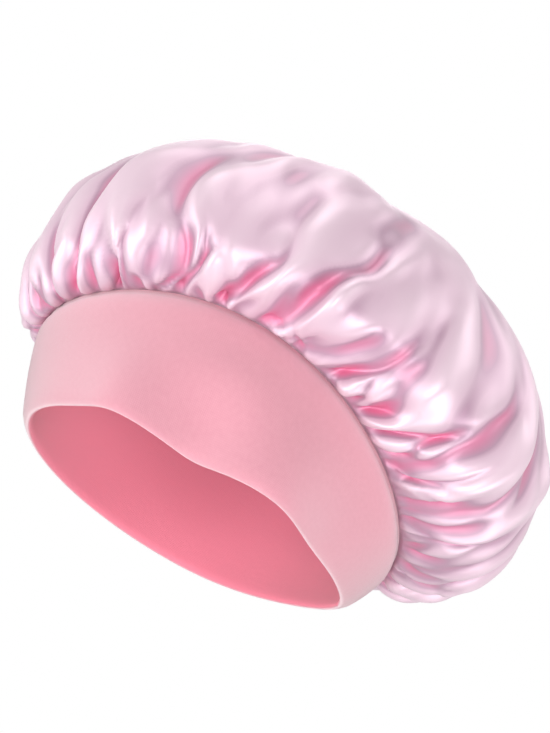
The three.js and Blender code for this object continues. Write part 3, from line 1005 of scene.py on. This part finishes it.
# %% [markdown]
# ## Small folds
#
# Satin has more folds than the coarse cloth can carry: a narrow crease along each main fold, short
# tucks between them, pleats at the seam, and low swells in the slack cloth above. A finer
# simulation would make them, but it takes long and puts them where it likes. Here each kind is a
# height over the filled dome, worked out by a formula, and chance numbers with a fixed seed make
# it uneven. The slow part of their sum is taken away again, so that the outline stays.

# %% Creases and tucks
CREASE_HALF, CREASE_SHARE, CREASE_FADE = math.radians(1.9), 0.42, 0.03
RIDGE_SHARE, RIDGE_AWAY, RIDGE_HALF = 0.5, 1.9, 0.9
TUCK_COUNT, TUCK_HALF, TUCK_SEED = 72, math.radians(1.15), 23
TUCK_SHIFT, TUCK_LEAN = 0.4, 4
TUCK_LENGTHS, TUCK_DEPTHS = (0.05, 0.22), (0.8, 3.2)


def tucks():
    """Short, narrow folds all along the seam, in rows like those of the main folds."""
    chance = np.random.default_rng(TUCK_SEED)
    step = 360 / TUCK_COUNT
    return [(step * (number + chance.uniform(-TUCK_SHIFT, TUCK_SHIFT)), chance.normal(0, TUCK_LEAN),
             1 - chance.uniform(*TUCK_LENGTHS), chance.uniform(*TUCK_DEPTHS))
            for number in range(TUCK_COUNT)]


def creases(rows, half, radius, angle):
    """Narrow valleys along the folds, each with a ridge on one side."""
    total = 0
    for away, depth in fold_places(rows, radius, angle):
        across = away / half
        total += depth * (RIDGE_SHARE * np.exp(-((across - RIDGE_AWAY) / RIDGE_HALF) ** 2)
                          - np.exp(-across ** 2))
    return total * np.clip((1 - radius) / CREASE_FADE, 0, 1)


print(TUCK_COUNT, "tucks")

# %% Gathers at the seam
GATHER_COUNT, GATHER_HEIGHT, GATHER_LENGTH, GATHER_START = 76, 1.6 * MM, 0.09, 0.02
GATHER_FADE, GATHER_ROUND, GATHER_LEVEL = 1.5, 0.8, 0.6
# Size, count round the crown and start of the beats that make the pleats uneven.
SHIFT_BEATS = ((2.2, 5, 1), (1.7, 11, 0), (1.2, 23, 2))
HEIGHT_BEATS = ((0.35, 9, 0.5), (0.25, 17, 2))
LENGTH_BEATS = ((0.4, 13, 1.3), (0.3, 29, 0))


def with_beats(value, beats, angle):
    for size, count, start in beats:
        value = value + size * np.sin(count * angle + start)
    return value


def gathers(radius, angle):
    """Small pleats at the seam, uneven in width, height and length."""
    phase = with_beats(GATHER_COUNT * angle, SHIFT_BEATS, angle) / 2
    height = with_beats(1, HEIGHT_BEATS, angle)
    length = GATHER_LENGTH * with_beats(1, LENGTH_BEATS, angle)
    rise = (1 - radius) / length
    fade = np.clip((1 - radius) / GATHER_START, 0, 1) * np.clip(1 - rise, 0, 1) ** GATHER_FADE
    return GATHER_HEIGHT * height * fade * (np.abs(np.sin(phase)) ** GATHER_ROUND - GATHER_LEVEL)


print(GATHER_COUNT, "gathers")

# %% Swells in the slack cloth
SLACK_START, SLACK_END, SLACK_SEED = 0.25, 0.9, 5
SWELL_EDGE, SWELL_ROUND, SWELL_TURN = 0.7, 0.35, 0.45
# Count, height, and the least and most length and width of each kind of swell, in mm.
SLACK_SWELLS = ((120, 3.2, (30, 80), (7, 14)), (220, 1.2, (25, 70), (4.5, 8)))


def slack(radius, flat):
    """Low swells and hollows in the loose cloth above the folds, most of them up and down."""
    chance = np.random.default_rng(SLACK_SEED)
    loose = np.flatnonzero((radius > SLACK_START) & (radius < SLACK_END))
    total = np.zeros(len(flat))
    for count, height, lengths, widths in SLACK_SWELLS:
        for middle in flat[chance.choice(loose, count)]:
            turn = math.atan2(middle[1], middle[0]) + chance.normal(0, SWELL_TURN)
            ahead = np.array([math.cos(turn), math.sin(turn)])
            along = (flat - middle) @ ahead / (chance.uniform(*lengths) * MM)
            across = (flat - middle) @ (-ahead[1], ahead[0]) / (chance.uniform(*widths) * MM)
            crest = (across ** 2 + SWELL_ROUND) ** SWELL_EDGE - SWELL_ROUND ** SWELL_EDGE
            total += chance.uniform(-1, 1) * height * MM * np.exp(-along ** 2 - crest)
    return total * np.clip((1 - radius) / (1 - SLACK_END), 0, 1)


print(sum(row[0] for row in SLACK_SWELLS), "swells")

# %% Add the small folds
SLOW_PASSES = 600

small_folds = (CREASE_SHARE * creases(main_folds(), CREASE_HALF, crown_radius, crown_angle)
               + creases(tucks(), TUCK_HALF, crown_radius, crown_angle)
               + gathers(crown_radius, crown_angle) + slack(crown_radius, crown_flat))
small_folds = small_folds - smoothed(small_folds, SLOW_PASSES)
crown_places = crown_places + small_folds[:, None] * outwards
print("small folds reach", round(np.abs(small_folds).max() / MM, 1), "mm")

# %% [markdown]
# ## The crown's mesh and its shades
#
# The satin doesn't end at the seam: a seam allowance stands up inside, so two more rows of points
# follow the rim. Down in a fold satin looks deeper pink, because light bounces from wall to wall
# there. More bounces would show a little of that at the cost of time. Here it is painted instead:
# the height of each point over its smoothed surroundings, near and wide, is kept as an attribute
# for the satin's colour ramp, and the last stretch before the seam and the allowance count as
# lower, for painted shade there.

# %% Mesh of the crown
SATIN_WALL = 0.5 * MM
# Share of the allowance, and how far out on the cloth map each of its two rows lies.
ALLOWANCE_ROWS = ((0.5, 1.015), (1, 1.03))

index = np.arange(len(crown_places)).reshape(FINE_GRID + 1, -1)
rim_loop = np.concatenate([index[:-1, 0], index[-1, :-1], index[:0:-1, -1], index[0, :0:-1]])
rim_angles = crown_angle[rim_loop]
crown_points, crown_map, crown_faces = crown_places, crown_flat, grid_faces(FINE_GRID)
upper = rim_loop
for share, out in ALLOWANCE_ROWS:
    lower = len(crown_points) + np.arange(len(rim_loop))
    crown_points = np.concatenate([crown_points, band_point(
        rim_angles, seam_height(rim_angles), SEAM_DEPTH - SATIN_WALL, share * SEAM_ALLOWANCE)])
    crown_map = np.concatenate([crown_map, crown_flat[rim_loop] * out])
    crown_faces += np.column_stack([np.roll(upper, -1), upper, lower, np.roll(lower, -1)]).tolist()
    upper = lower
crown = new_piece("satin_crown", crown_points, crown_faces, satin,
                  crown_map[np.array(crown_faces).ravel()])
crown_area = sum(face.area for face in crown.data.polygons)
print("crown cloth", round(crown_area, 3), "m2")

# %% Shades of the crown
FOLD_PASSES, NEAR_PASSES, NEAR_SHARE = 280, 24, 1.5
SEAM_SHADE, SEAM_SHADE_FROM = 2 * MM, 0.88

relief = ((crown_places - crown_filled) * outwards).sum(axis=1)
over = (relief - smoothed(relief, FOLD_PASSES)
        + NEAR_SHARE * (relief - smoothed(relief, NEAR_PASSES)))
# Painted shade: the last stretch before the seam is lowered on the colour ramp, and the allowance
# rows take the lowest value.
over -= SEAM_SHADE * np.clip((crown_radius - SEAM_SHADE_FROM) / (1 - SEAM_SHADE_FROM), 0, 1)
point_values(crown, FOLD_SHADE_MAP, np.concatenate(
    [over, np.full(len(crown_points) - len(over), -SEAM_SHADE)]))
thicken(crown, SATIN_WALL)
print("folds from", round(over.min() / MM, 1), "to", round(over.max() / MM, 1), "mm;",
      len(crown.data.polygons), "faces")

# %% [markdown]
# ## Stitches
#
# Five rows of sewing hold the bonnet together, all of them inside: the gathering row on the satin
# edge, the row that joins crown and band, the overlock loops over the raw edges, the back seam of
# the knit strip, and the zigzag that closes the elastic. Each row could be one smooth tube, but it
# is a line of equal stitches, so one Geometry Nodes tree makes them all: it walks along a line,
# sets one stitch at each step and turns it along the line. A stitch is modelled once, as a short
# bowed thread or as a loop.

# %% Parts of the stitch tree
ROW_INPUTS = (("Line", "Geometry"), ("Stitch", "Object"), ("Pitch", "Float"), ("Upright", "Vector"),
              ("Uneven", "Float"), ("Seed", "Int"), ("Finish", "Material"))


def row_sockets(tree):
    """The tree's inputs and output; returns the key by which a modifier sets each input."""
    keys = {}
    for name, kind in ROW_INPUTS:
        made = tree.interface.new_socket(name, in_out="INPUT", socket_type="NodeSocket" + kind)
        keys[name] = made.identifier
    tree.interface.new_socket("Stitches", in_out="OUTPUT", socket_type="NodeSocketGeometry")
    return keys


def stitch_turn(tree, upright):
    """A stitch runs along the line and keeps its bow upright."""
    along = node(tree, "FunctionNodeAlignRotationToVector", axis="X")
    join(tree, node(tree, "GeometryNodeInputTangent").outputs[0], along.inputs["Vector"])
    turned = node(tree, "FunctionNodeAlignRotationToVector", axis="Z", pivot_axis="X")
    join(tree, along.outputs[0], turned.inputs["Rotation"])
    join(tree, upright, turned.inputs["Vector"])
    return turned.outputs[0]


def stitch_size(tree, uneven, seed):
    """No two stitches are quite the same size."""
    least = node(tree, "ShaderNodeMath", operation="SUBTRACT")
    least.inputs[0].default_value = 1
    join(tree, uneven, least.inputs[1])
    size = node(tree, "FunctionNodeRandomValue", data_type="FLOAT")
    join(tree, least.outputs[0], size.inputs[2])
    size.inputs[3].default_value = 1
    join(tree, seed, size.inputs["Seed"])
    return size.outputs[1]


print("a row of stitches has", len(ROW_INPUTS), "inputs")

# %% Stitch tree
def stitch_tree():
    tree = bpy.data.node_groups.new("stitch_row", "GeometryNodeTree")
    keys = row_sockets(tree)
    given = node(tree, "NodeGroupInput").outputs
    line = node(tree, "GeometryNodeMeshToCurve")
    join(tree, given["Line"], line.inputs["Mesh"])
    steps = node(tree, "GeometryNodeResampleCurve", mode="LENGTH")
    join(tree, line.outputs["Curve"], steps.inputs["Curve"])
    join(tree, given["Pitch"], steps.inputs["Length"])
    pattern = node(tree, "GeometryNodeObjectInfo")
    join(tree, given["Stitch"], pattern.inputs["Object"])
    sew = node(tree, "GeometryNodeInstanceOnPoints")
    join(tree, steps.outputs["Curve"], sew.inputs["Points"])
    join(tree, pattern.outputs["Geometry"], sew.inputs["Instance"])
    join(tree, stitch_turn(tree, given["Upright"]), sew.inputs["Rotation"])
    join(tree, stitch_size(tree, given["Uneven"], given["Seed"]), sew.inputs["Scale"])
    real = node(tree, "GeometryNodeRealizeInstances")
    join(tree, sew.outputs["Instances"], real.inputs["Geometry"])
    coat = node(tree, "GeometryNodeSetMaterial")
    join(tree, real.outputs["Geometry"], coat.inputs["Geometry"])
    join(tree, given["Finish"], coat.inputs["Material"])
    join(tree, coat.outputs["Geometry"], node(tree, "NodeGroupOutput").inputs["Stitches"])
    return tree, keys


sew_tree, sew_keys = stitch_tree()
print("tree inputs:", list(sew_keys))

# %% Thread
THREAD_RADIUS, TUBE_SIDES = 0.3 * MM, 6
SLANT = (0.31, 0.43, 0.85)


def tube(name, path):
    """A thread of even section along a path that never runs along SLANT, closed at both ends."""
    ahead = np.gradient(path, axis=0)
    ahead /= np.linalg.norm(ahead, axis=1, keepdims=True)
    side = np.cross(ahead, SLANT)
    side /= np.linalg.norm(side, axis=1, keepdims=True)
    over = np.cross(ahead, side)
    turn = np.linspace(0, 2 * np.pi, TUBE_SIDES, endpoint=False)
    rings = (path[:, None] + THREAD_RADIUS * (np.cos(turn)[None, :, None] * side[:, None]
                                              + np.sin(turn)[None, :, None] * over[:, None]))
    count = len(path)
    points = np.concatenate([rings.reshape(-1, 3), path[:1], path[-1:]])
    faces = []
    for ring in range(count - 1):
        for number in range(TUBE_SIDES):
            after = (number + 1) % TUBE_SIDES
            faces.append((ring * TUBE_SIDES + number, ring * TUBE_SIDES + after,
                          (ring + 1) * TUBE_SIDES + after, (ring + 1) * TUBE_SIDES + number))
    last = (count - 1) * TUBE_SIDES
    for number in range(TUBE_SIDES):
        after = (number + 1) % TUBE_SIDES
        faces.append((count * TUBE_SIDES, after, number))
        faces.append((count * TUBE_SIDES + 1, last + number, last + after))
    return new_piece(name, points, faces, sewing_thread)


print("thread", 2 * THREAD_RADIUS / MM, "mm thick")

# %% One stitch of each kind
STITCH_STEPS, STITCH_BOW, BOW_FLATNESS = 7, 0.25 * MM, 4
LOOP_STEPS, LOOP_ROUND = 17, 0.6


def bowed_stitch(length):
    t = np.linspace(-1, 1, STITCH_STEPS)
    return tube("straight_stitch", np.column_stack(
        [t * length / 2, 0 * t, STITCH_BOW * (1 - t ** BOW_FLATNESS)]))


def squarer(wave):
    return np.sign(wave) * np.abs(wave) ** LOOP_ROUND


def overlock_loop(pitch, width, height):
    turn = np.linspace(0, 2 * np.pi, LOOP_STEPS)
    across = squarer(np.cos(turn)) * width / 2
    lift = squarer(np.sin(turn)) * height / 2 - height / 2
    return tube("overlock_loop", np.column_stack(
        [(turn / (2 * np.pi) - 0.5) * pitch, across, lift]))


print("a stitch has", STITCH_STEPS, "steps and a loop", LOOP_STEPS)

# %% Sew a row
STITCH_UNEVEN, STITCH_SEED = 0.08, 3
UPWARDS, TO_NAPE = (0, 0, 1), (0, 1, 0)


def sewn_row(name, points, stitch, pitch, closed=True, upright=UPWARDS):
    count = len(points)
    mesh = bpy.data.meshes.new(name)
    edges = [(here, (here + 1) % count) for here in range(count if closed else count - 1)]
    mesh.from_pydata(points.tolist(), edges, [])
    row = bpy.data.objects.new(name, mesh)
    scene.collection.objects.link(row)
    sewing = row.modifiers.new("sewing", "NODES")
    sewing.node_group = sew_tree
    for socket, value in (("Stitch", stitch), ("Pitch", pitch), ("Upright", upright),
                          ("Uneven", STITCH_UNEVEN), ("Seed", STITCH_SEED),
                          ("Finish", sewing_thread)):
        sewing[sew_keys[socket]] = value
    settled(row)
    row.data.shade_smooth()
    bpy.data.objects.remove(stitch)
    print(name, len(row.data.polygons), "faces")
    return row


print("stitches differ in size by up to", round(100 * STITCH_UNEVEN), "percent")

# %% Rows of the seam
STITCH_PITCH, STITCH_SHARE = 3.0 * MM, 0.9
GATHER_PITCH, GATHER_SHARE = 4.5 * MM, 0.8
JOIN_DEPTH, JOIN_LIFT = RAW_EDGE_DEPTH + 0.3 * MM, 1.5 * MM
GATHER_DEPTH, GATHER_LIFT = SEAM_DEPTH - 1.4 * MM, 4.5 * MM
OVERLOCK_PITCH, OVERLOCK_WIDTH, OVERLOCK_HEIGHT = 2.6 * MM, 4.6 * MM, 5 * MM
OVERLOCK_DEPTH, OVERLOCK_LIFT = SEAM_DEPTH + 0.9 * MM, SEAM_ALLOWANCE + 0.6 * MM

high = seam_height(angles)
join_row = sewn_row("join_stitches", band_point(angles, high, JOIN_DEPTH, JOIN_LIFT),
                    bowed_stitch(STITCH_PITCH * STITCH_SHARE), STITCH_PITCH)
gather_row = sewn_row("gathering_stitches", band_point(angles, high, GATHER_DEPTH, GATHER_LIFT),
                      bowed_stitch(GATHER_PITCH * GATHER_SHARE), GATHER_PITCH)
overlock = sewn_row("overlock_stitches", band_point(angles, high, OVERLOCK_DEPTH, OVERLOCK_LIFT),
                    overlock_loop(OVERLOCK_PITCH, OVERLOCK_WIDTH, OVERLOCK_HEIGHT),
                    OVERLOCK_PITCH)

# %% Back seam and tack
BACK_STITCH, BACK_PITCH, BACK_POINTS = 2.2 * MM, 2.5 * MM, 8
BACK_DEPTH, BACK_MARGIN = 1.9 * MM, 3 * MM
TACK_STITCH, TACK_PITCH, TACK_TURNS = 1.5 * MM, 1.7 * MM, 11
TACK_DEPTH, TACK_MARGIN, TACK_RISE = 2.0 * MM, 3 * MM, 1.2 * MM
TACK_FROM, TACK_SWING = 0.16, 0.06

rises = np.linspace(BACK_MARGIN, SEAM_HIGH_BACK - BACK_MARGIN, BACK_POINTS)
back_seam = sewn_row("back_seam_stitches", band_point(NAPE, rises, BACK_DEPTH),
                     bowed_stitch(BACK_STITCH), BACK_PITCH, False, TO_NAPE)
zigzag = np.arange(TACK_TURNS)
tack = sewn_row("elastic_tack_stitches",
                band_point(NAPE + TACK_FROM + TACK_SWING * (zigzag % 2),
                           ELASTIC_FOOT + TACK_MARGIN + zigzag * TACK_RISE, TACK_DEPTH),
                bowed_stitch(TACK_STITCH), TACK_PITCH, False, TO_NAPE)

# %% [markdown]
# ## Fix everything to the frame
#
# Each piece takes the place of a solid, which is hidden, and rides on the body it moves with. All
# of the band and its sewing ride on the band. The crown could ride on its own body, but it crosses
# the joint: its lower part stays with the seam while its top sinks under a hand. Here it is only
# fixed in the frame, and its solid is hidden.

# %% Ride and replace
for piece, solid, slot in ((band, "band_sleeve", "knit"), (elastic, "band_elastic", "elastic"),
                           (join_row, "join_thread", "thread"),
                           (gather_row, "gathering_thread", "thread"),
                           (overlock, "overlock_thread", "thread"),
                           (back_seam, "back_seam_thread", "thread"),
                           (tack, "elastic_tack", "thread")):
    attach(piece, "band")
    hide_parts(solid)
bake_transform(crown)
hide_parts("crown_cloth")
print("crown cloth", round(crown_area, 3), "m2, band cloth", round(band_area, 3), "m2")
